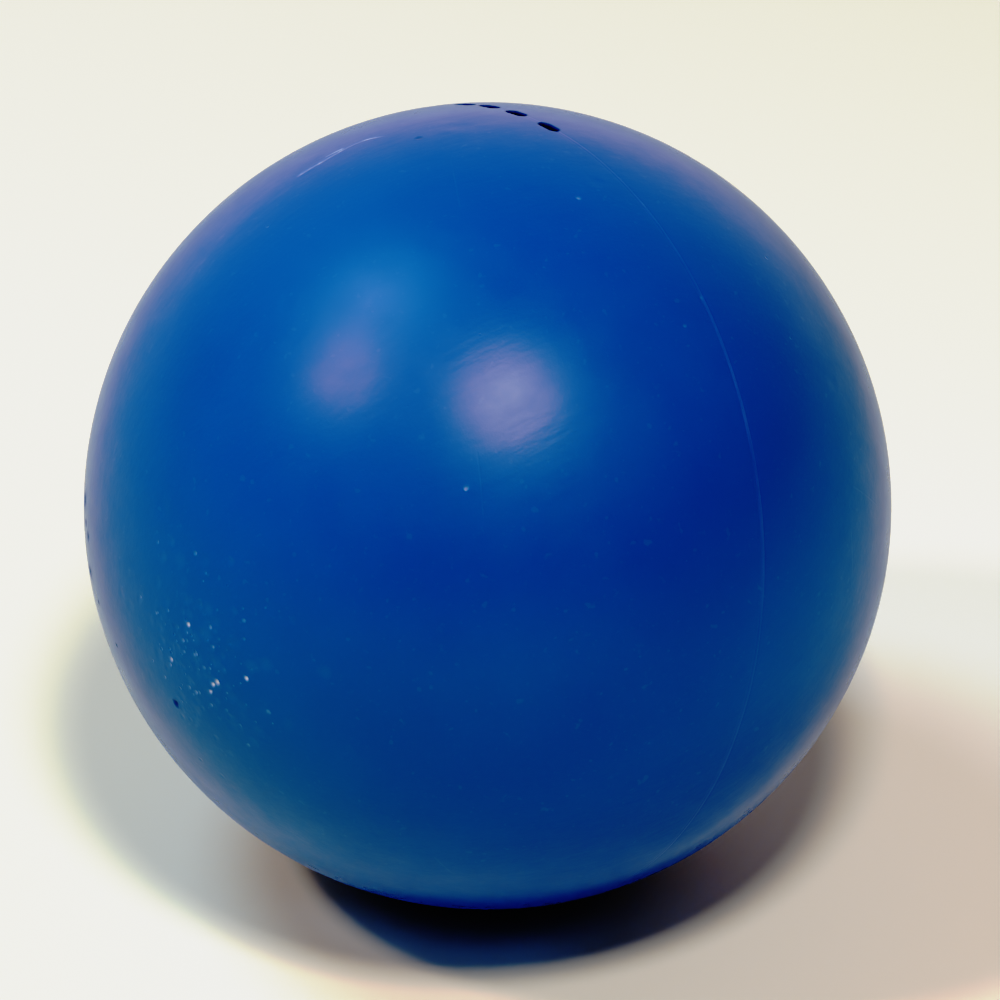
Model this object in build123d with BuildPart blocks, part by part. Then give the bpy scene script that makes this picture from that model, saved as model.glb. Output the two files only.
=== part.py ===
from build123d import *
import os
from math import cos, radians, sin, sqrt

os.makedirs("parts", exist_ok=True)

# Croquet ball, composite kind: a solid core, a bonding coat round it and two
# moulded half covers, joined by a tongue and groove at one great-circle seam.
# Millimetres. Origin at the ball's centre, +Z up as the ball lies, the viewer
# on the -Y side. The ball touches the ground at z = -BALL_D / 2.

# ---- driving dimensions ----
BALL_D = 92.075          # 3 5/8 in, the playing size
COVER_WALL = 6.5         # half cover, outside to inside
COAT_T = 0.25            # bonding coat between the core and the covers
SEAM_W = 0.45            # adhesive line at the seam, face to face
TONGUE_W = 2.2           # tongue, measured along the wall's thickness
TONGUE_H = 2.4           # tongue, past the seam plane
TONGUE_CLEAR = 0.20      # adhesive round the tongue, sides and end
TONGUE_TIP_R = 0.5       # rounding on the tongue's tip

SEAM_AZ = 218.94         # direction of the seam's pole, degrees from +X
SEAM_EL = 12.24          # and above the horizontal

# recessed dashes: place round the seam in degrees, and offset towards the pole in mm
TICKS = ((91.4, 0.0), (98.4, 0.0), (104.2, 0.0), (108.9, 0.35), (115.2, 0.75))
TICK_L = 2.8             # dash, along the seam
TICK_W = 1.3             # across the seam
TICK_D = 0.50            # depth below the ball's surface

# ---- derived ----
R_OUT = BALL_D / 2
R_IN = R_OUT - COVER_WALL
R_CORE = R_IN - COAT_T
HALF_W = SEAM_W / 2
R_MID = (R_OUT + R_IN) / 2
T_IN = R_MID - TONGUE_W / 2
T_OUT = R_MID + TONGUE_W / 2
G_IN = T_IN - TONGUE_CLEAR
G_OUT = T_OUT + TONGUE_CLEAR
T_END = -TONGUE_H
G_END = -TONGUE_H - TONGUE_CLEAR
GROOVE_TIP_R = TONGUE_TIP_R + TONGUE_CLEAR
X_OUT = sqrt(R_OUT**2 - HALF_W**2)
X_IN = sqrt(R_IN**2 - HALF_W**2)
D45 = sqrt(0.5)

# ---- directions ----
pole = Vector(
    cos(radians(SEAM_EL)) * cos(radians(SEAM_AZ)),
    cos(radians(SEAM_EL)) * sin(radians(SEAM_AZ)),
    sin(radians(SEAM_EL)),
)
seam_x = Vector(0, 0, 1).cross(pole).normalized()
seam_y = pole.cross(seam_x)
pole_axis = Axis((0, 0, 0), pole)

# half-section plane: local x runs out along the seam plane, local y along the pole
section = Plane(origin=(0, 0, 0), x_dir=seam_x, z_dir=seam_x.cross(pole))


def tick_plane(angle, offset):
    # tangent plane at one dash's floor: local x along the seam, local y across it
    out = seam_x * cos(radians(angle)) + seam_y * sin(radians(angle))
    along = seam_y * cos(radians(angle)) - seam_x * sin(radians(angle))
    return Plane(origin=out * (R_OUT - TICK_D) + pole * offset, x_dir=along, z_dir=out)


tick_planes = [tick_plane(a, w) for a, w in TICKS]

# ---- core: solid sphere of bonded cork and rubber granules ----
with BuildPart() as core:
    Sphere(R_CORE)
core.part.label = "core"
export_step(core.part, "parts/core.step")

# ---- bonding coat: closed thin shell between the core and both covers ----
with BuildPart() as core_bond:
    Sphere(R_IN)
    Sphere(R_CORE, mode=Mode.SUBTRACT)
core_bond.part.label = "core_bond"
export_step(core_bond.part, "parts/core_bond.step")

# ---- half cover with the tongue, on the pole's side of the seam ----
with BuildPart() as cover_tongue_half:
    with BuildSketch(section):
        with BuildLine():
            ThreePointArc((0, R_OUT), (R_OUT * D45, R_OUT * D45), (X_OUT, HALF_W))
            Polyline(
                (X_OUT, HALF_W), (T_OUT, HALF_W), (T_OUT, T_END),
                (T_IN, T_END), (T_IN, HALF_W), (X_IN, HALF_W),
            )
            ThreePointArc((X_IN, HALF_W), (R_IN * D45, R_IN * D45), (0, R_IN))
            Line((0, R_IN), (0, R_OUT))
        make_face()
        fillet(vertices().filter_by_position(Axis.Y, T_END - 0.01, T_END + 0.01), TONGUE_TIP_R)
    revolve(axis=pole_axis)
    with BuildSketch(*tick_planes):
        SlotOverall(TICK_L, TICK_W)
    extrude(amount=2 * TICK_D, mode=Mode.SUBTRACT)
cover_tongue_half.part.label = "cover_tongue_half"
export_step(cover_tongue_half.part, "parts/cover_tongue_half.step")

# ---- half cover with the groove, on the far side of the seam ----
with BuildPart() as cover_groove_half:
    with BuildSketch(section):
        with BuildLine():
            ThreePointArc((0, -R_OUT), (R_OUT * D45, -R_OUT * D45), (X_OUT, -HALF_W))
            Polyline(
                (X_OUT, -HALF_W), (G_OUT, -HALF_W), (G_OUT, G_END),
                (G_IN, G_END), (G_IN, -HALF_W), (X_IN, -HALF_W),
            )
            ThreePointArc((X_IN, -HALF_W), (R_IN * D45, -R_IN * D45), (0, -R_IN))
            Line((0, -R_IN), (0, -R_OUT))
        make_face()
        fillet(vertices().filter_by_position(Axis.Y, G_END - 0.01, G_END + 0.01), GROOVE_TIP_R)
    revolve(axis=pole_axis)
    with BuildSketch(*tick_planes):
        SlotOverall(TICK_L, TICK_W)
    extrude(amount=2 * TICK_D, mode=Mode.SUBTRACT)
cover_groove_half.part.label = "cover_groove_half"
export_step(cover_groove_half.part, "parts/cover_groove_half.step")

# ---- seam adhesive: one ring that fills both lands and wraps the tongue ----
with BuildPart() as seam_bond:
    with BuildSketch(section):
        with BuildLine():
            ThreePointArc((X_OUT, HALF_W), (R_OUT, 0), (X_OUT, -HALF_W))
            Polyline(
                (X_OUT, -HALF_W), (G_OUT, -HALF_W), (G_OUT, G_END),
                (G_IN, G_END), (G_IN, -HALF_W), (X_IN, -HALF_W),
            )
            ThreePointArc((X_IN, -HALF_W), (R_IN, 0), (X_IN, HALF_W))
            Polyline(
                (X_IN, HALF_W), (T_IN, HALF_W), (T_IN, T_END),
                (T_OUT, T_END), (T_OUT, HALF_W), (X_OUT, HALF_W),
            )
        make_face()
        fillet(vertices().filter_by_position(Axis.Y, T_END - 0.01, T_END + 0.01), TONGUE_TIP_R)
        fillet(vertices().filter_by_position(Axis.Y, G_END - 0.01, G_END + 0.01), GROOVE_TIP_R)
    revolve(axis=pole_axis)
    with BuildSketch(*tick_planes):
        SlotOverall(TICK_L, TICK_W)
    extrude(amount=2 * TICK_D, mode=Mode.SUBTRACT)
seam_bond.part.label = "seam_bond"
export_step(seam_bond.part, "parts/seam_bond.step")
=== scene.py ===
import math

import bpy
import numpy as np
from mathutils import Matrix, Vector


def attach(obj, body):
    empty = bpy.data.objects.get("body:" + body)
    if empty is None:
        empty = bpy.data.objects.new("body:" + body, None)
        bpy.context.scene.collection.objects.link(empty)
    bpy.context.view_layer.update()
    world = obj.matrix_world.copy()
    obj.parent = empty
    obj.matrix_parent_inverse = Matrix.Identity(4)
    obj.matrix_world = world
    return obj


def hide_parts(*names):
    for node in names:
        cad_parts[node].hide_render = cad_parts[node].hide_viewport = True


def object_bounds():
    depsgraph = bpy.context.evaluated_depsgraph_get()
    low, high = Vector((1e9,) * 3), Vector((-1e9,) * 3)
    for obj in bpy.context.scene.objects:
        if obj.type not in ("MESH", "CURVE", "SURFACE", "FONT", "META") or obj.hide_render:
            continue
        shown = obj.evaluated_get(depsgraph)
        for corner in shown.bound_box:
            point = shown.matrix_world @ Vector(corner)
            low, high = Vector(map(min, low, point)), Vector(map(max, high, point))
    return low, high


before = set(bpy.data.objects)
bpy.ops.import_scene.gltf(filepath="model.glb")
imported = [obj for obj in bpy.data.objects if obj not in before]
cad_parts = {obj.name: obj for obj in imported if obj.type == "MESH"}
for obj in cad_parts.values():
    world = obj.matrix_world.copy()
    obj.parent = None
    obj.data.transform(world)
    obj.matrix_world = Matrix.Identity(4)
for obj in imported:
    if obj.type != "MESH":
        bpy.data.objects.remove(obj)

cad_low, cad_high = [list(map(float, c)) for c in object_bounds()]
scene = bpy.context.scene

# ------------------------------------------------------------------ sizes, mm
R = 46.0375              # ball
WALL = 6.5               # half cover
SEAM_H = 0.225           # half the width of the adhesive line
T_IN, T_OUT = R - WALL / 2 - 1.1, R - WALL / 2 + 1.1      # tongue
G_IN, G_OUT = T_IN - 0.2, T_OUT + 0.2                     # groove
T_END, G_END = -2.4, -2.6
TIP = 0.5                # rounding on the tongue's tip
R_IN = R - WALL
TICKS = [(math.radians(a), w) for a, w in ((91.4, 0.0), (98.4, 0.0), (104.2, 0.0), (108.9, 0.35), (115.2, 0.75))]
TICK_HALF, TICK_R, TICK_D = 0.75, 0.65, 0.50     # half the straight part, end radius, depth
FLOOR_Z = -R

AZ, EL = math.radians(218.94), math.radians(12.24)
POLE = np.array([math.cos(EL) * math.cos(AZ), math.cos(EL) * math.sin(AZ), math.sin(EL)])
SX = np.cross([0.0, 0.0, 1.0], POLE)
SX /= np.linalg.norm(SX)
SY = np.cross(POLE, SX)
TO_WORLD = np.stack([SX, SY, POLE])          # rows: seam frame axes in the row frame


def local(v):
    """Row-frame direction -> seam frame (x, y in the seam plane, z along the pole)."""
    v = np.asarray(v, float)
    v = v / np.linalg.norm(v, axis=-1, keepdims=True)
    return v @ TO_WORLD.T


# ------------------------------------------------------------------ value noise
def _hash(i, j, k, seed):
    n = (i * 374761393 + j * 668265263 + k * 2147483647 + seed * 1274126177) & 0xFFFFFFFF
    n = ((n ^ (n >> 13)) * 1274126177) & 0xFFFFFFFF
    n = (n ^ (n >> 16)) & 0xFFFFFFFF
    return n.astype(np.float64) / 0xFFFFFFFF * 2 - 1


def noise3(p, scale, seed=0):
    """Smooth value noise in -1..1 with features about `scale` mm across."""
    q = p / scale + 100.0
    b = np.floor(q).astype(np.int64)
    f = q - b
    f = f * f * f * (f * (f * 6 - 15) + 10)
    out = 0.0
    for dx in (0, 1):
        wx = f[:, 0] if dx else 1 - f[:, 0]
        for dy in (0, 1):
            wy = f[:, 1] if dy else 1 - f[:, 1]
            for dz in (0, 1):
                wz = f[:, 2] if dz else 1 - f[:, 2]
                out = out + wx * wy * wz * _hash(b[:, 0] + dx, b[:, 1] + dy, b[:, 2] + dz, seed)
    return out


def smooth(x, a, b):
    t = np.clip((x - a) / (b - a), 0, 1)
    return t * t * (3 - 2 * t)


# ------------------------------------------------------------------ wear on the surface
rng = np.random.default_rng(20)


def scatter(centre, spread, n, gen=rng):
    """n directions near `centre`, normal spread in mm on the ball."""
    c = np.asarray(centre, float)
    c /= np.linalg.norm(c)
    t = np.cross(c, [0.3, 0.2, 0.9])
    t /= np.linalg.norm(t)
    s = np.cross(c, t)
    a = gen.normal(0, spread / R, (n, 2))
    v = c + a[:, :1] * t + a[:, 1:] * s
    return v / np.linalg.norm(v, axis=1, keepdims=True)


# pits: direction (row frame), radius mm, depth mm, pale amount, grime amount
pit_dir, pit_r, pit_d, pit_w, pit_g = [], [], [], [], []


def pits(dirs, r, d, w, g=0.0):
    n = len(dirs)
    for v, a, b, c, e in zip(dirs, *(np.broadcast_to(q, n) for q in (r, d, w, g))):
        pit_dir.append(np.asarray(v, float) / np.linalg.norm(v))
        pit_r.append(float(a))
        pit_d.append(float(b))
        pit_w.append(float(c))
        pit_g.append(float(e))


# the scuffed patch low on the left
SCUFF = np.array([-0.690, -0.722, -0.010])
n = 80
pits(scatter(SCUFF, 4.4, n), rng.uniform(0.10, 0.26, n), rng.uniform(0.015, 0.06, n), rng.uniform(0.02, 0.48, n))
pits([(-0.712, -0.697, 0.086), (-0.757, -0.652, -0.040), (-0.643, -0.765, -0.034), (-0.653, -0.755, -0.046),
      (-0.571, -0.821, 0.012), (-0.661, -0.747, -0.071)], [0.32, 0.30, 0.40, 0.34, 0.32, 0.30],
     [0.10, 0.10, 0.14, 0.12, 0.10, 0.10], [1.0, 0.9, 1.0, 1.0, 0.95, 0.85])
pits([(-0.697, -0.711, -0.096), (-0.760, -0.647, -0.058), (-0.725, -0.688, 0.035), (-0.693, -0.720, 0.019)],
     0.26, 0.08, 0.55)
# shallow rub under the chips: many fine touches that roughen the patch
n = 120
pits(scatter(SCUFF, 6.0, n), rng.uniform(0.35, 0.9, n), rng.uniform(0.008, 0.024, n), rng.uniform(0.0, 0.06, n))
# nicks on the left side, seen at the outline, and two dark spots
pits([(-0.988, -0.122, 0.090), (-0.984, -0.160, 0.048), (-0.979, -0.205, 0.036), (-0.975, -0.212, -0.060),
      (-0.953, -0.285, -0.104), (-0.905, -0.395, -0.160)],
     [1.10, 0.50, 0.75, 0.90, 0.40, 0.36], [0.18, 0.10, 0.12, 0.16, 0.07, 0.06], 0.0,
     [0.25, 0.38, 0.16, 0.24, 0.34, 0.30])
pits([(-0.165, 0.080, 0.983), (-0.749, -0.639, -0.173)], [0.50, 0.55], [0.04, 0.10], 0.0, [0.24, 0.50])
# single pale specks
pits([(0.217, -0.185, 0.959), (-0.050, -0.838, 0.543), (0.673, -0.071, 0.736), (-0.526, -0.109, 0.843),
      (0.507, -0.359, 0.783), (0.465, -0.454, 0.760), (0.725, -0.278, 0.630)],
     [0.30, 0.28, 0.30, 0.24, 0.22, 0.22, 0.22], [0.04, 0.05, 0.05, 0.04, 0.03, 0.03, 0.03],
     [0.36, 0.42, 0.34, 0.22, 0.16, 0.14, 0.18])
# knocks and specks all over
n = 150
v = rng.normal(size=(n, 3))
v /= np.linalg.norm(v, axis=1, keepdims=True)
pits(v, rng.uniform(0.08, 0.20, n), rng.uniform(0.005, 0.014, n), rng.uniform(0.0, 0.22, n) ** 1.5)
n = 46
v = rng.normal(size=(n, 3))
v /= np.linalg.norm(v, axis=1, keepdims=True)
pits(v, rng.uniform(0.6, 1.9, n), rng.uniform(0.010, 0.035, n), np.zeros(n))
PIT_C = local(np.array(pit_dir))
PIT_R, PIT_D, PIT_W, PIT_G = np.array(pit_r), np.array(pit_d), np.array(pit_w), np.array(pit_g)

# scratches: points in the seam frame, half width mm, depth mm, pale amount
scratches = []


def scratch(points, half, depth, pale):
    p = np.array(points, float)
    p /= np.linalg.norm(p, axis=1, keepdims=True)
    # a smooth line through the points, every 0.35 mm
    seg = np.linalg.norm(np.diff(p, axis=0), axis=1) * R
    at = np.concatenate([[0], np.cumsum(seg)])
    m = max(3, int(at[-1] / 0.35))
    s = np.linspace(0, at[-1], m)
    q = np.stack([np.interp(s, at, p[:, i]) for i in range(3)], 1)
    for _ in range(6):
        q[1:-1] = (q[:-2] + 2 * q[1:-1] + q[2:]) / 4
    q /= np.linalg.norm(q, axis=1, keepdims=True)
    scratches.append((local(q), half, depth, pale))


ARC = [(-0.463, 0.067, 0.884), (-0.425, 0.085, 0.901), (-0.386, 0.103, 0.917), (-0.353, 0.124, 0.928),
       (-0.324, 0.140, 0.936), (-0.285, 0.151, 0.947), (-0.240, 0.137, 0.961)]
scratch(ARC, 0.20, 0.050, 1.0)                        # long scrape on the upper left
scratch(ARC[:4], 0.32, 0.035, 0.80)                   # its broader start
scratch([(-0.395, 0.118, 0.912), (-0.372, 0.128, 0.920), (-0.345, 0.137, 0.929)], 0.20, 0.040, 1.0)
for _ in range(11):
    c = rng.normal(size=3)
    c /= np.linalg.norm(c)
    t = np.cross(c, rng.normal(size=3))
    t /= np.linalg.norm(t)
    ln = rng.uniform(3.0, 11.0) / R
    bend = np.cross(c, t) * rng.uniform(-0.12, 0.12)
    pts = [c * math.cos(a) + t * math.sin(a) + bend * (a / ln) ** 2 * ln for a in np.linspace(-ln / 2, ln / 2, 7)]
    scratch(pts, rng.uniform(0.09, 0.13), rng.uniform(0.004, 0.009), rng.uniform(0.02, 0.10))


def near_pits(d, reach):
    """For each direction, pairs (point, pit) closer than the pit's radius times reach."""
    cosr = np.cos(PIT_R * reach / R)
    pi, pj = [], []
    for s in range(0, len(d), 20000):
        hit = d[s:s + 20000] @ PIT_C.T > cosr
        i, j = np.nonzero(hit)
        pi.append(i + s)
        pj.append(j)
    return np.concatenate(pi), np.concatenate(pj)


def scratch_distance(d, line):
    """Distance in mm to a scratch's line and the place along it, 0 to 1."""
    best = np.full(len(d), 99.0)
    along = np.zeros(len(d))
    mid = line[len(line) // 2]
    span = np.linalg.norm(line[0] - line[-1]) * R + 2.0
    idx = np.nonzero(np.linalg.norm(d - mid, axis=1) * R < span)[0]
    if len(idx) == 0:
        return best, along
    q = d[idx]
    for k in range(len(line) - 1):
        a, b = line[k], line[k + 1]
        ab = b - a
        t = np.clip(((q - a) @ ab) / (ab @ ab), 0, 1)
        dist = np.linalg.norm(q - (a + t[:, None] * ab), axis=1) * R
        better = dist < best[idx]
        best[idx[better]] = dist[better]
        along[idx[better]] = (k + t[better]) / (len(line) - 1)
    return best, along


def tick_distance(d):
    """Signed distance in mm to the nearest recessed dash's outline, negative inside."""
    ang = np.arctan2(d[:, 1], d[:, 0])
    out = np.full(len(d), 99.0)
    for t, off in TICKS:
        a = np.angle(np.exp(1j * (ang - t))) * R
        w = d[:, 2] * R - off
        dist = np.hypot(np.maximum(np.abs(a) - TICK_HALF, 0), w) - TICK_R
        out = np.minimum(out, dist)
    return out


def relief(d):
    """Radial offset in mm, the pale amount, and the dark amount (dirt in the pits, painted shade in the dash
    recesses), for directions in the seam frame.
    """
    p = d * R
    z = 0.012 * (noise3(p, 17.0, 1) - 1) + 0.006 * (noise3(p, 7.0, 2) - 1)
    z += 0.0022 * noise3(p, 2.6, 3)
    pale = np.zeros(len(d))
    dirt_and_recess_shade = np.zeros(len(d))
    i, j = near_pits(d, 1.9)
    t = np.linalg.norm(d[i] - PIT_C[j], axis=1) * R / PIT_R[j]
    t = t * (1 + 0.22 * noise3(p[i], 0.35, 5))
    bowl = -PIT_D[j] * np.clip(1 - t * t, 0, 1) ** 2 + 0.18 * PIT_D[j] * np.exp(-((t - 1.15) / 0.22) ** 2)
    np.add.at(z, i, bowl)
    np.maximum.at(pale, i, PIT_W[j] * np.clip(1.25 - t, 0, 1) ** 0.7)
    np.maximum.at(dirt_and_recess_shade, i, PIT_G[j] * np.clip(1.15 - t, 0, 1) ** 0.6)
    for line, half, depth, amount in scratches:
        dist, along = scratch_distance(d, line)
        hit = dist < half * 3.2
        if not hit.any():
            continue
        u = dist[hit] / half
        taper = smooth(along[hit], 0, 0.12) * (1 - smooth(along[hit], 0.85, 1.0))
        taper = taper * (0.65 + 0.35 * noise3(p[hit], 0.9, 7))
        z[hit] += taper * depth * (-np.clip(1 - u * u, 0, 1) + 0.25 * np.exp(-((u - 1.4) / 0.4) ** 2))
        pale[hit] = np.maximum(pale[hit], amount * taper * np.clip(1.3 - u, 0, 1) ** 0.7)
    sd = tick_distance(d)
    rec = smooth(-sd, -0.06, 0.14)
    z -= TICK_D * rec + 0.02 * (smooth(-sd, -0.35, -0.02) - rec).clip(0, 1)
    # painted shade: the recessed dashes and a narrow ring round them are darkened
    dirt_and_recess_shade = np.maximum(dirt_and_recess_shade, 0.55 * smooth(-sd, -0.30, -0.02) + 0.42 * smooth(-sd, -0.03, 0.05))
    pale *= 1 - rec
    return z, np.clip(pale, 0, 1), np.clip(dirt_and_recess_shade, 0, 1)


def wanted(d):
    """Longest edge wanted at a direction in the seam frame, mm."""
    h = np.full(len(d), 1.15)
    i, j = near_pits(d, 3.0)
    t = np.linalg.norm(d[i] - PIT_C[j], axis=1) * R / PIT_R[j]
    fine = np.maximum(0.36 * PIT_R[j], 0.085) + 0.30 * PIT_R[j] * np.clip(t - 1.3, 0, 9)
    np.minimum.at(h, i, fine)
    for line, half, _, _ in scratches:
        dist, _ = scratch_distance(d, line)
        hit = dist < 3.0
        h[hit] = np.minimum(h[hit], np.maximum(half * 0.75, 0.08) + 0.45 * np.clip(dist[hit] - 1.6 * half, 0, 9))
    sd = np.abs(tick_distance(d))
    h = np.minimum(h, 0.075 + 0.45 * np.clip(sd - 0.15, 0, 9))
    s = np.abs(d[:, 2]) * R - SEAM_H
    h = np.minimum(h, 0.42 + 0.5 * np.clip(s - 0.3, 0, 9))
    return h


# ------------------------------------------------------------------ mesh building
def stitch(A, B, pa, pb):
    """Triangles between two closed loops, A south of B, angles rising."""
    na, nb = len(A), len(B)
    i = j = 0
    out = []
    two = 2 * math.pi
    while i < na or j < nb:
        an = pa[(i + 1) % na] + (two if i + 1 >= na else 0) if i < na else 1e9
        bn = pb[(j + 1) % nb] + (two if j + 1 >= nb else 0) if j < nb else 1e9
        if an <= bn:
            out.append((A[i % na], A[(i + 1) % na], B[j % nb]))
            i += 1
        else:
            out.append((A[i % na], B[(j + 1) % nb], B[j % nb]))
            j += 1
    return out


def base_skin():
    """North cap of the unit sphere from the seam's edge to the pole, in near-even triangles."""
    lat = [math.asin(SEAM_H / R)]
    step = [0.16, 0.18, 0.22, 0.30, 0.40, 0.55, 0.75, 0.95]
    while lat[-1] < math.pi / 2 - 1.4 / R:
        d = step.pop(0) if step else 1.05
        lat.append(lat[-1] + d / R)
    verts, tris, prev = [], [], None
    for k, a in enumerate(lat):
        sp = 0.42 if k < 5 else min(1.1, 0.42 + 0.16 * (k - 4))
        m = max(8, int(round(2 * math.pi * R * math.cos(a) / sp)))
        ang = (np.arange(m) + (0.5 if k % 2 else 0.0)) * 2 * math.pi / m
        idx = list(range(len(verts), len(verts) + m))
        verts += [(math.cos(a) * math.cos(t), math.cos(a) * math.sin(t), math.sin(a)) for t in ang]
        if prev:
            tris += stitch(prev[0], idx, prev[1], ang)
        prev = (idx, ang)
    apex = len(verts)
    verts.append((0, 0, 1))
    idx = prev[0]
    tris += [(idx[i], idx[(i + 1) % len(idx)], apex) for i in range(len(idx))]
    return np.array(verts, float), np.array(tris, np.int64)


def refine(V, T, side, rounds=7):
    """Splits long edges at their middle, longest edge first, until every edge is as short as wanted."""
    flip = np.array([1.0, 1.0, side])
    for _ in range(rounds):
        n = len(V)
        E = np.concatenate([T[:, [0, 1]], T[:, [1, 2]], T[:, [2, 0]]])
        key = np.sort(E, axis=1)
        key = key[:, 0] * n + key[:, 1]
        uniq, first, inv = np.unique(key, return_index=True, return_inverse=True)
        inv = inv.reshape(-1)
        a, b = uniq // n, uniq % n
        length = np.linalg.norm(V[a] - V[b], axis=1) * R
        mid = V[a] + V[b]
        mid /= np.linalg.norm(mid, axis=1, keepdims=True)
        flag = length > 1.25 * wanted(mid * flip)
        if not flag.any():
            break
        m = len(T)
        te = np.stack([inv[:m], inv[m:2 * m], inv[2 * m:]], 1)
        longest = np.argmax(length[te] + 1e-9 * te, axis=1)
        le = te[np.arange(m), longest]
        while True:
            any_flag = flag[te].any(axis=1)
            new = le[any_flag]
            if flag[new].all():
                break
            flag[new] = True
        at = np.full(len(uniq), -1)
        at[flag] = n + np.arange(flag.sum())
        V = np.concatenate([V, mid[flag]])
        r = np.arange(m)
        A, B, C = T[r, longest], T[r, (longest + 1) % 3], T[r, (longest + 2) % 3]
        mab = at[te[r, longest]]
        mbc = at[te[r, (longest + 1) % 3]]
        mca = at[te[r, (longest + 2) % 3]]
        keep = mab < 0
        out = [T[keep]]
        s = ~keep
        x = s & (mca < 0)
        out.append(np.stack([A[x], mab[x], C[x]], 1))
        x = s & (mca >= 0)
        out.append(np.stack([A[x], mab[x], mca[x]], 1))
        out.append(np.stack([mab[x], C[x], mca[x]], 1))
        x = s & (mbc < 0)
        out.append(np.stack([mab[x], B[x], C[x]], 1))
        x = s & (mbc >= 0)
        out.append(np.stack([mab[x], B[x], mbc[x]], 1))
        out.append(np.stack([mab[x], mbc[x], C[x]], 1))
        T = np.concatenate(out)
    return V, T


def wander(ang, seed):
    """The seam edge's small unevenness round the ball, mm."""
    p = np.stack([np.cos(ang), np.sin(ang), np.zeros_like(ang)], 1) * R
    return 0.035 * noise3(p, 6.0, seed) + 0.022 * noise3(p, 2.4, seed + 1)


def make_object(name, V, T, pale, dirt_and_recess_shade, tint=None):
    """A mesh object from seam-frame millimetres, moved into the row frame in metres."""
    W = (V @ TO_WORLD) * 0.001
    lo, hi = np.array(cad_low), np.array(cad_high)
    W = np.clip(W, lo, hi)
    me = bpy.data.meshes.new(name)
    me.vertices.add(len(W))
    me.vertices.foreach_set("co", W.astype(np.float32).ravel())
    me.loops.add(3 * len(T))
    me.loops.foreach_set("vertex_index", T.astype(np.int32).ravel())
    me.polygons.add(len(T))
    me.polygons.foreach_set("loop_start", np.arange(0, 3 * len(T), 3, dtype=np.int32))
    me.update(calc_edges=True)
    me.validate()
    me.polygons.foreach_set("use_smooth", np.ones(len(T), bool))
    for label, data in (("pale", pale), ("dirt_and_recess_shade", dirt_and_recess_shade), ("tint", tint)):
        if data is not None:
            at = me.attributes.new(label, "FLOAT", "POINT")
            at.data.foreach_set("value", data.astype(np.float32))
    # sharp edges where the section turns a corner
    me.set_sharp_from_angle(angle=math.radians(40))
    ob = bpy.data.objects.new(name, me)
    scene.collection.objects.link(ob)
    return ob


def cover(name, side):
    """One half cover: worn outer skin, seam land, tongue or groove, and inner wall."""
    V, T = base_skin()
    V, T = refine(V, T, side)
    # rim: edges on one triangle only
    n = len(V)
    E = np.sort(np.concatenate([T[:, [0, 1]], T[:, [1, 2]], T[:, [2, 0]]]), axis=1)
    key, count = np.unique(E[:, 0] * n + E[:, 1], return_counts=True)
    rim = np.unique(np.concatenate([key[count == 1] // n, key[count == 1] % n]))
    ang = np.arctan2(V[rim, 1], V[rim, 0]) % (2 * math.pi)
    order = np.argsort(ang)
    rim, ang = rim[order], ang[order]
    D = V * np.array([1, 1, side])
    z, pale, dirt_and_recess_shade = relief(D)
    s = V[:, 2] * R - SEAM_H
    z = z - 0.010 * np.exp(-(s / 0.10) ** 2)              # broken edge beside the adhesive line
    P = D * (R + z)[:, None]
    a_all = np.arctan2(D[:, 1], D[:, 0])
    P[:, 2] += side * wander(a_all, 31 if side > 0 else 41) * np.clip(1 - s / 1.6, 0, 1) ** 2
    verts = [P]
    tris = [T if side > 0 else T[:, ::-1]]
    total = len(P)
    ca, sa = np.cos(ang), np.sin(ang)

    def ring(r, w, angles=None):
        nonlocal total
        c, q = (ca, sa) if angles is None else (np.cos(angles), np.sin(angles))
        verts.append(np.stack([r * c, r * q, np.full(len(c), w)], 1))
        idx = np.arange(total, total + len(c))
        total += len(c)
        return idx

    h = side * SEAM_H
    if side > 0:
        a45 = TIP * (1 - math.sqrt(0.5))
        path = [(T_OUT, h), (T_OUT, T_END + TIP), (T_OUT - a45, T_END + a45), (T_OUT - TIP, T_END),
                (T_IN + TIP, T_END), (T_IN + a45, T_END + a45), (T_IN, T_END + TIP), (T_IN, h)]
    else:
        tip = TIP + 0.2
        a45 = tip * (1 - math.sqrt(0.5))
        path = [(G_OUT, h), (G_OUT, G_END + tip), (G_OUT - a45, G_END + a45), (G_OUT - tip, G_END),
                (G_IN + tip, G_END), (G_IN + a45, G_END + a45), (G_IN, G_END + tip), (G_IN, h)]
    prev, pang = rim, ang
    x_in = math.sqrt(R_IN**2 - SEAM_H**2)
    path.append((x_in, h))
    for r, w in path:
        idx = ring(r, w)
        q = np.array(stitch(idx, prev, ang, pang))
        tris.append(q if side > 0 else q[:, ::-1])
        prev, pang = idx, ang
    # inner wall, from the seam to the pole
    lat0 = math.asin(SEAM_H / R_IN)
    steps = 44
    for k in range(1, steps):
        a = lat0 + (math.pi / 2 - lat0) * k / steps
        m = max(10, int(round(2 * math.pi * R_IN * math.cos(a) / 1.5)))
        g = np.arange(m) * 2 * math.pi / m
        c, q = np.cos(g), np.sin(g)
        verts.append(np.stack([R_IN * math.cos(a) * c, R_IN * math.cos(a) * q, np.full(m, side * R_IN * math.sin(a))], 1))
        idx = np.arange(total, total + m)
        total += m
        q = np.array(stitch(idx, prev, g, pang))     # wound to face the centre
        tris.append(q if side > 0 else q[:, ::-1])
        prev, pang = idx, g
    verts.append(np.array([[0, 0, side * R_IN]]))
    m = len(prev)
    q = np.stack([np.roll(prev, -1), prev, np.full(m, total)], 1)
    tris.append(q if side > 0 else q[:, ::-1])
    total += 1
    V = np.concatenate(verts)
    T = np.concatenate(tris)
    extra = np.zeros(len(V) - n)
    return make_object(name, V, T, np.concatenate([pale, extra]), np.concatenate([dirt_and_recess_shade, extra]))


FRONT_SHOW = ((38.0, 9.0, 0.45), (20.0, 6.0, 0.35), (72.0, 14.0, -0.35), (-15.0, 14.0, -0.25))


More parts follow.
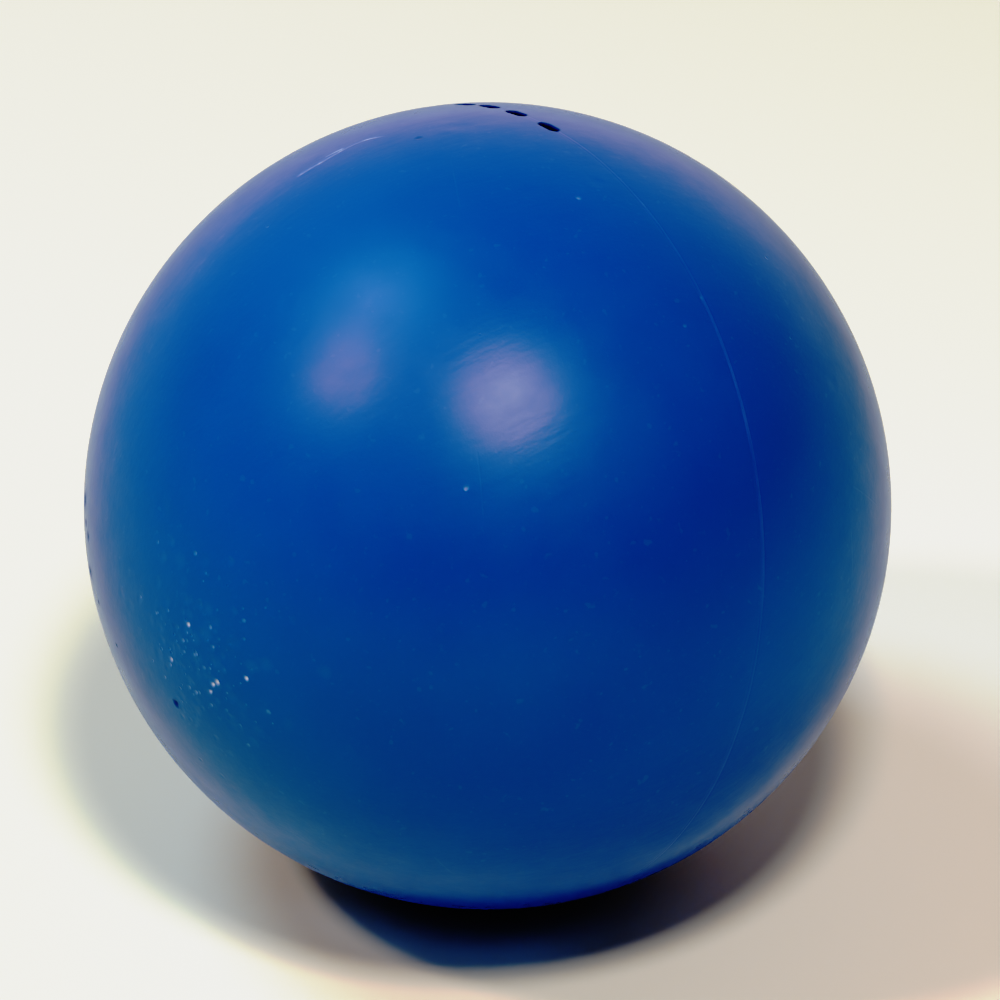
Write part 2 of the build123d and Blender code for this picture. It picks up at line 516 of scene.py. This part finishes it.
def seam_ring(name):
    """The adhesive: a slightly crowned flush line outside, wrapped round the tongue inside."""
    m = 1440
    ang = np.arange(m) * 2 * math.pi / m
    ca, sa = np.cos(ang), np.sin(ang)
    up = SEAM_H + wander(ang, 31)
    dn = -SEAM_H - wander(ang, 41)
    loops, pale, dirt_and_recess_shade = [], [], []
    # how strongly the paler tint is laid on round the seam: noise, raised round 20 and 38 degrees, lowered round -15
    # and 72 degrees
    p = np.stack([ca, sa, np.zeros_like(ang)], 1) * R
    shows = 0.34 + 0.30 * noise3(p, 14.0, 61) + 0.20 * noise3(p, 4.5, 62)
    for at, wide, amount in FRONT_SHOW:
        shows += amount * np.exp(-(np.degrees(np.angle(np.exp(1j * (ang - math.radians(at))))) / wide) ** 2)
    shows = np.clip(shows, 0.06, 1.0)

    def put(r, w, p=0.0, q=0.0):
        r = np.broadcast_to(r, m)
        w = np.broadcast_to(w, m)
        loops.append(np.stack([r * ca, r * sa, w], 1))
        pale.append(np.broadcast_to(p, m))
        dirt_and_recess_shade.append(np.broadcast_to(q, m))

    for t in np.linspace(0, 1, 7):
        w = up + (dn - up) * t
        d = np.stack([ca, sa, w / R], 1)
        d /= np.linalg.norm(d, axis=1, keepdims=True)
        z, p, q = relief(d)
        crown = 0.014 * (1 - (2 * t - 1) ** 2) - 0.010 + 0.004 * noise3(d * R, 0.9, 51)
        r = np.sqrt((R + z + crown) ** 2 - w**2)
        put(r, w, p, q)
    tip = TIP + 0.2
    g45, t45 = tip * (1 - math.sqrt(0.5)), TIP * (1 - math.sqrt(0.5))
    for r, w in ((G_OUT, -SEAM_H), (G_OUT, G_END + tip), (G_OUT - g45, G_END + g45), (G_OUT - tip, G_END),
                 (G_IN + tip, G_END), (G_IN + g45, G_END + g45), (G_IN, G_END + tip), (G_IN, -SEAM_H),
                 (math.sqrt(R_IN**2 - SEAM_H**2), -SEAM_H), (math.sqrt(R_IN**2 - SEAM_H**2), SEAM_H),
                 (T_IN, SEAM_H), (T_IN, T_END + TIP), (T_IN + t45, T_END + t45), (T_IN + TIP, T_END),
                 (T_OUT - TIP, T_END), (T_OUT - t45, T_END + t45), (T_OUT, T_END + TIP), (T_OUT, SEAM_H)):
        put(r, w)
    V = np.concatenate(loops)
    k = len(loops)
    tris = []
    base = np.arange(m)
    nxt = np.roll(base, -1)
    for i in range(k):
        a, b = i * m, ((i + 1) % k) * m
        tris.append(np.stack([a + base, b + base, b + nxt], 1))
        tris.append(np.stack([a + base, b + nxt, a + nxt], 1))
    T = np.concatenate(tris)
    return make_object(name, V, T, np.concatenate(pale), np.concatenate(dirt_and_recess_shade), np.tile(shows, k))


# ------------------------------------------------------------------ material helpers
def new_material(name):
    m = bpy.data.materials.new(name)
    m.use_nodes = True
    nt = m.node_tree
    nt.nodes.clear()
    out = nt.nodes.new("ShaderNodeOutputMaterial")
    bs = nt.nodes.new("ShaderNodeBsdfPrincipled")
    nt.links.new(bs.outputs["BSDF"], out.inputs["Surface"])
    return m, nt, bs


class Graph:
    def __init__(self, nt):
        self.nt = nt

    def node(self, kind, **kw):
        nd = self.nt.nodes.new(kind)
        for k, v in kw.items():
            setattr(nd, k, v)
        return nd

    def link(self, a, b):
        self.nt.links.new(a, b)

    def put(self, socket, value):
        if hasattr(value, "is_output"):
            self.link(value, socket)
        else:
            socket.default_value = value

    def coords(self, scale=(1, 1, 1), rot=(0, 0, 0)):
        # turned first and stretched second, so the stretch follows the turned axes
        tc = self.node("ShaderNodeTexCoord")
        turn = self.node("ShaderNodeMapping")
        turn.inputs["Rotation"].default_value = rot
        self.link(tc.outputs["Object"], turn.inputs["Vector"])
        mp = self.node("ShaderNodeMapping")
        mp.inputs["Scale"].default_value = scale
        self.link(turn.outputs["Vector"], mp.inputs["Vector"])
        return mp.outputs["Vector"]

    def noise(self, vec, scale, detail=2.0, rough=0.5, dist=0.0):
        nd = self.node("ShaderNodeTexNoise")
        self.link(vec, nd.inputs["Vector"])
        nd.inputs["Scale"].default_value = scale
        nd.inputs["Detail"].default_value = detail
        nd.inputs["Roughness"].default_value = rough
        nd.inputs["Distortion"].default_value = dist
        return nd.outputs["Fac"]

    def remap(self, v, a, b, c, d, smoothstep=False):
        nd = self.node("ShaderNodeMapRange")
        if smoothstep:
            nd.interpolation_type = "SMOOTHSTEP"
        self.link(v, nd.inputs["Value"])
        for s, x in zip(("From Min", "From Max", "To Min", "To Max"), (a, b, c, d)):
            nd.inputs[s].default_value = x
        return nd.outputs["Result"]

    def math(self, op, a, b=0.0, c=None):
        nd = self.node("ShaderNodeMath", operation=op)
        self.put(nd.inputs[0], a)
        self.put(nd.inputs[1], b)
        if c is not None:
            self.put(nd.inputs[2], c)
        return nd.outputs[0]

    def mix(self, fac, a, b):
        nd = self.node("ShaderNodeMix", data_type="RGBA")
        self.put(nd.inputs["Factor"], fac)
        self.put(nd.inputs[6], a)
        self.put(nd.inputs[7], b)
        return nd.outputs[2]

    def attr(self, name):
        nd = self.node("ShaderNodeAttribute", attribute_name=name)
        return nd.outputs["Fac"]

    def bump(self, height, strength, distance, normal=None):
        nd = self.node("ShaderNodeBump")
        nd.inputs["Strength"].default_value = strength
        nd.inputs["Distance"].default_value = distance
        self.link(height, nd.inputs["Height"])
        if normal is not None:
            self.link(normal, nd.inputs["Normal"])
        return nd.outputs["Normal"]


BLUE = (0.0022, 0.0935, 0.331, 1)
BLUE_DEEP = (0.0018, 0.0865, 0.314, 1)
BLUE_PALE = (0.14, 0.26, 0.50, 1)
BLUE_CHALK = (0.62, 0.70, 0.80, 1)
SEAM_BLUE = (0.045, 0.112, 0.385, 1)
BLUE_DIRT_AND_SHADE = (0.003, 0.008, 0.030, 1)

# brushed direction: an Euler that turns the streaks' long axis onto local x of the mapping
STREAK = Vector((0.872, 0.400, 0.283)).normalized()
STREAK_ROT = STREAK.to_track_quat("X", "Z").inverted().to_euler()


def blue_plastic(name, base, deep, seam=False):
    m, nt, bs = new_material(name)
    g = Graph(nt)
    v = g.coords()
    big = g.noise(v, 34.0, 3.0, 0.55)
    fine = g.noise(v, 1500.0, 2.0, 0.6)
    speck = g.noise(v, 900.0, 1.0, 0.5)
    col = g.mix(g.remap(big, 0.35, 0.68, 0, 1, True), deep, base)
    col = g.mix(g.remap(fine, 0.62, 0.80, 0, 0.05), col, BLUE_PALE)
    col = g.mix(g.remap(speck, 0.70, 0.76, 0, 0.07), col, BLUE_PALE)
    if seam:
        # the paler tint is laid on by the tint amount, broken up by fine noise
        fade = g.math("MULTIPLY", g.attr("tint"), g.remap(g.noise(v, 190.0, 3.0, 0.6), 0.30, 0.62, 0.45, 1.0, True))
        col = g.mix(fade, col, SEAM_BLUE)
    col = g.mix(g.remap(g.attr("pale"), 0.0, 0.7, 0.0, 0.85), col, BLUE_PALE)
    col = g.mix(g.remap(g.attr("pale"), 0.6, 1.0, 0.0, 0.9), col, BLUE_CHALK)
    # darkened by the dark amount: dirt in the pits, painted shade inside and round the recessed dashes
    col = g.mix(g.attr("dirt_and_recess_shade"), col, BLUE_DIRT_AND_SHADE)
    g.link(col, bs.inputs["Base Color"])
    # roughness: satin, a little uneven, duller where worn
    r0 = g.remap(g.noise(v, 260.0, 3.0, 0.6), 0.3, 0.7, 0.360, 0.420)
    # a satin surface looks glossier towards grazing
    lw = g.node("ShaderNodeLayerWeight")
    r0 = g.math("MULTIPLY", r0, g.remap(lw.outputs["Facing"], 0.66, 0.90, 1.0, 0.72, True))
    r1 = g.math("MULTIPLY_ADD", g.attr("pale"), 0.25, r0)
    r2 = g.math("MULTIPLY_ADD", g.attr("dirt_and_recess_shade"), 0.35, r1)
    g.link(r2, bs.inputs["Roughness"])
    # polishing streaks and a fine moulded texture
    st = g.coords(scale=(200, 850, 850), rot=STREAK_ROT)
    streak = g.noise(st, 1.0, 2.0, 0.55)
    n1 = g.bump(streak, 1.0, 0.000019)
    n2 = g.bump(g.noise(v, 2300.0, 2.0, 0.6), 0.35, 0.00002, n1)
    g.link(n2, bs.inputs["Normal"])
    bs.inputs["IOR"].default_value = 1.41
    return m


def core_material():
    m, nt, bs = new_material("core_composite")
    g = Graph(nt)
    v = g.coords()
    vo = g.node("ShaderNodeTexVoronoi")
    vo.inputs["Scale"].default_value = 420.0
    g.link(v, vo.inputs["Vector"])
    pick = g.node("ShaderNodeValToRGB")
    pick.color_ramp.interpolation = "CONSTANT"
    e = pick.color_ramp.elements
    e[0].position, e[0].color = 0.0, (0.30, 0.165, 0.075, 1)
    e[1].position, e[1].color = 0.35, (0.42, 0.25, 0.12, 1)
    for pos, c in ((0.6, (0.20, 0.105, 0.05, 1)), (0.78, (0.028, 0.026, 0.026, 1)), (0.92, (0.50, 0.33, 0.18, 1))):
        q = e.new(pos)
        q.color = c
    sep = g.node("ShaderNodeSeparateColor")
    g.link(vo.outputs["Color"], sep.inputs["Color"])
    g.link(sep.outputs[0], pick.inputs["Fac"])
    grain = g.noise(v, 1400.0, 3.0, 0.6)
    edge = g.node("ShaderNodeTexVoronoi", feature="DISTANCE_TO_EDGE")
    edge.inputs["Scale"].default_value = 420.0
    g.link(v, edge.inputs["Vector"])
    col = g.mix(g.remap(grain, 0.3, 0.7, 0.0, 0.35), pick.outputs["Color"], (0.12, 0.065, 0.03, 1))
    col = g.mix(g.remap(edge.outputs["Distance"], 0.0, 0.06, 0.7, 0.0, True), col, (0.05, 0.03, 0.018, 1))
    g.link(col, bs.inputs["Base Color"])
    g.link(g.remap(grain, 0.2, 0.8, 0.72, 0.92), bs.inputs["Roughness"])
    n1 = g.bump(g.remap(edge.outputs["Distance"], 0.0, 0.12, 0.0, 1.0, True), 0.6, 0.0002)
    g.link(g.bump(grain, 0.5, 0.0001, n1), bs.inputs["Normal"])
    return m


def coat_material():
    m, nt, bs = new_material("bonding_coat")
    g = Graph(nt)
    st = g.coords(scale=(60, 700, 700), rot=STREAK_ROT)
    brush = g.noise(st, 1.0, 3.0, 0.6)
    blot = g.noise(g.coords(), 45.0, 3.0, 0.55)
    col = g.mix(g.remap(blot, 0.35, 0.65, 0, 1, True), (0.40, 0.22, 0.055, 1), (0.58, 0.36, 0.11, 1))
    col = g.mix(g.remap(brush, 0.45, 0.75, 0, 0.5), col, (0.30, 0.15, 0.035, 1))
    g.link(col, bs.inputs["Base Color"])
    g.link(g.remap(blot, 0.3, 0.7, 0.22, 0.40), bs.inputs["Roughness"])
    g.link(g.bump(brush, 0.5, 0.0001), bs.inputs["Normal"])
    return m


# ------------------------------------------------------------------ pieces
cover_mat = blue_plastic("cover_blue", BLUE, BLUE_DEEP)
seam_mat = blue_plastic("seam_adhesive", BLUE, BLUE_DEEP, seam=True)
for label, side, node in (("tongue_half_skin", 1, "cover_tongue_half"), ("groove_half_skin", -1, "cover_groove_half")):
    ob = cover(label, side)
    ob.data.materials.append(cover_mat)
    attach(ob, "root")
    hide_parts(node)
ob = seam_ring("seam_line")
ob.data.materials.append(seam_mat)
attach(ob, "root")
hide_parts("seam_bond")
for node, mat in (("core", core_material()), ("core_bond", coat_material())):
    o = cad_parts[node]
    o.data.materials.clear()
    o.data.materials.append(mat)

# ------------------------------------------------------------------ floor
me = bpy.data.meshes.new("floor")
s = 12.0
z0 = FLOOR_Z * 0.001
me.from_pydata([(-s, -s, z0), (s, -s, z0), (s, s, z0), (-s, s, z0)], [], [(0, 1, 2, 3)])
floor = bpy.data.objects.new("floor", me)
scene.collection.objects.link(floor)
fm, fnt, fbs = new_material("pale_floor")
fg = Graph(fnt)
fn = fg.noise(fg.coords(), 6.0, 2.0)
fc = fg.mix(fg.remap(fn, 0.3, 0.7, 0, 1), (0.752, 0.871, 0.720, 1), (0.758, 0.878, 0.727, 1))
# painted light on the floor at and in front of the ball: yellower and a little darker on the left, bluer on the right,
# where the coloured lamps fall differently
fx = fg.node("ShaderNodeSeparateXYZ")
fg.link(fg.coords(), fx.inputs[0])
side = fg.mix(fg.remap(fx.outputs["X"], -0.075, 0.05, 0, 1, True), (0.730, 0.846, 0.662, 1), (0.748, 0.860, 0.756, 1))
fg.link(fg.mix(fg.remap(fx.outputs["Y"], 0.0, 0.14, 0, 1, True), side, fc), fbs.inputs["Base Color"])
fbs.inputs["Roughness"].default_value = 0.9
fp = fg.node("ShaderNodeVectorMath", operation="LENGTH")
fg.link(fg.coords(), fp.inputs[0])
# floor emission: a pale glow far off, and a painted blue glow on the shadow just in front of the ball, standing in for
# light bounced off the ball
far = fg.remap(fp.outputs["Value"], 0.8, 2.4, 0, 1, True)
fback = fg.math("MULTIPLY_ADD", fg.math("DIVIDE", fx.outputs["Y"], fp.outputs["Value"]), 0.5, 0.5)
fback = fg.math("POWER", fback, 2.0)
fg.link(fg.mix(fg.remap(fp.outputs["Value"], 0.10, 0.30, 0, 1), (0.27, 0.58, 1.0, 1),
               fg.mix(far, (1.0, 0.976, 0.929, 1), (0.93, 0.95, 0.97, 1))), fbs.inputs["Emission Color"])
# painted blue glow: a thin ring 52 mm from the centre, in front of the ball, weaker to the right
fq = fg.math("DIVIDE", fg.math("SUBTRACT", fp.outputs["Value"], 0.0520), 0.0021)
fq = fg.math("EXPONENT", fg.math("MULTIPLY", fg.math("MULTIPLY", fq, fq), -1.0))
fq = fg.math("MULTIPLY", fq, fg.remap(fx.outputs["Y"], -0.018, -0.008, 1, 0, True))
fq = fg.math("MULTIPLY", fq, fg.remap(fx.outputs["X"], 0.002, 0.016, 1, 0.1, True))
fe = fg.math("MULTIPLY", fg.math("SUBTRACT", 1.0, far), fg.remap(fp.outputs["Value"], 0.36, 1.3, 0.0, 0.45, True))
fe = fg.math("MULTIPLY_ADD", far, fg.math("MULTIPLY_ADD", fback, 0.9, 0.30), fe)
fg.link(fg.math("MULTIPLY_ADD", fq, 0.050, fe), fbs.inputs["Emission Strength"])
fbs.inputs["Specular IOR Level"].default_value = 0.2
me.materials.append(fm)

# ------------------------------------------------------------------ light
def disc(name, pos_mm, radius_mm, watts, colour):
    d = bpy.data.lights.new(name, "AREA")
    d.shape = "DISK"
    d.size = 2 * radius_mm * 0.001
    d.energy = watts
    d.color = colour
    o = bpy.data.objects.new(name, d)
    scene.collection.objects.link(o)
    p = Vector(pos_mm) * 0.001
    o.location = p
    o.rotation_euler = (-p).to_track_quat("-Z", "Y").to_euler()
    return o


disc("key", (72, -411, 704), 83, 5.18, (1.0, 0.768, 0.707))
disc("side_large", (-530, 112, 1092), 232, 6.72, (0.500, 0.700, 1.0))
disc("side_small", (-654, -244, 824), 60, 3.90, (1.0, 0.677, 0.602))

world = bpy.data.worlds.new("world")
scene.world = world
world.use_nodes = True
bg = world.node_tree.nodes["Background"]
wg = Graph(world.node_tree)
wd = wg.node("ShaderNodeTexCoord")
ws = wg.node("ShaderNodeSeparateXYZ")
wg.link(wd.outputs["Generated"], ws.inputs[0])
wy, wz = ws.outputs["Y"], ws.outputs["Z"]


def band(centre, width):
    """A soft band of sky at one height, 1 at its middle."""
    q = wg.math("DIVIDE", wg.math("SUBTRACT", wz, centre), width)
    return wg.math("EXPONENT", wg.math("MULTIPLY", wg.math("MULTIPLY", q, q), -1.0))


back = wg.math("POWER", wg.math("MULTIPLY_ADD", wy, 0.5, 0.5), 2.0)
front = wg.math("POWER", wg.math("MULTIPLY_ADD", wy, -0.5, 0.5), 2.0)
warm = wg.math("MULTIPLY", wg.math("MULTIPLY", band(0.0, 0.30), back), 1.05)
warm = wg.math("ADD", warm, wg.math("MULTIPLY", wg.math("MULTIPLY", band(0.55, 0.28), back), 1.02))
warm = wg.math("ADD", warm, wg.math("MULTIPLY", wg.math("MULTIPLY", band(0.55, 0.28), front), 0.20))
even = wg.math("MULTIPLY", band(0.0, 0.07), 0.45)
wc = wg.node("ShaderNodeVectorMath", operation="SCALE")
wc.inputs[0].default_value = (1.142, 0.800, 0.740)
wg.link(warm, wc.inputs["Scale"])
ec = wg.node("ShaderNodeVectorMath", operation="SCALE")
ec.inputs[0].default_value = (0.88, 1.04, 1.04)
wg.link(even, ec.inputs["Scale"])
wa = wg.node("ShaderNodeVectorMath", operation="ADD")
wg.link(wc.outputs[0], wa.inputs[0])
wg.link(ec.outputs[0], wa.inputs[1])
wg.link(wa.outputs[0], bg.inputs["Color"])
bg.inputs["Strength"].default_value = 1.0

# ------------------------------------------------------------------ camera
CAM = Vector((0.0, -602.86, 355.76)) * 0.001
FPX = 6129.5
cam = bpy.data.cameras.new("camera")
cam.sensor_width = 36.0
cam.lens = FPX * 36.0 / 1000.0
cam.clip_start, cam.clip_end = 0.01, 60.0
co = bpy.data.objects.new("camera", cam)
scene.collection.objects.link(co)
fwd = (-CAM).normalized()
right = Vector((1, 0, 0))
up = right.cross(fwd)
look = (fwd + right * (12.4 / FPX) + up * (6.0 / FPX)).normalized()
right = look.cross(Vector((0, 0, 1))).normalized()
up = right.cross(look)
co.matrix_world = Matrix.Translation(CAM) @ Matrix((right, up, -look)).transposed().to_4x4()
scene.camera = co
scene.view_settings.view_transform = "Standard"
scene.view_settings.look = "None"
# a contrasty response: deep shadows close up and the brightest tones level off
scene.view_settings.use_curve_mapping = True
cm = scene.view_settings.curve_mapping
cm.extend = "EXTRAPOLATED"
cm.white_level = (1.4, 1.4, 1.4)
cu = cm.curves[3]
TONE = [(0.0, 0.0), (0.03, 0.0006), (0.05, 0.0015), (0.07, 0.0050), (0.09, 0.0180), (0.11, 0.0470), (0.14, 0.0930),
        (0.18, 0.1420), (0.25, 0.2050), (0.4, 0.3700), (0.6, 0.5650), (0.8, 0.8330), (1.0, 0.8780), (1.4, 0.9450)]
cu.points[0].location = TONE[0]
cu.points[1].location = (1.0, TONE[-1][1])
for t, v in TONE[1:-1]:
    cu.points.new(t / 1.4, v)
for p in cu.points:
    p.handle_type = "AUTO_CLAMPED"
cm.update()
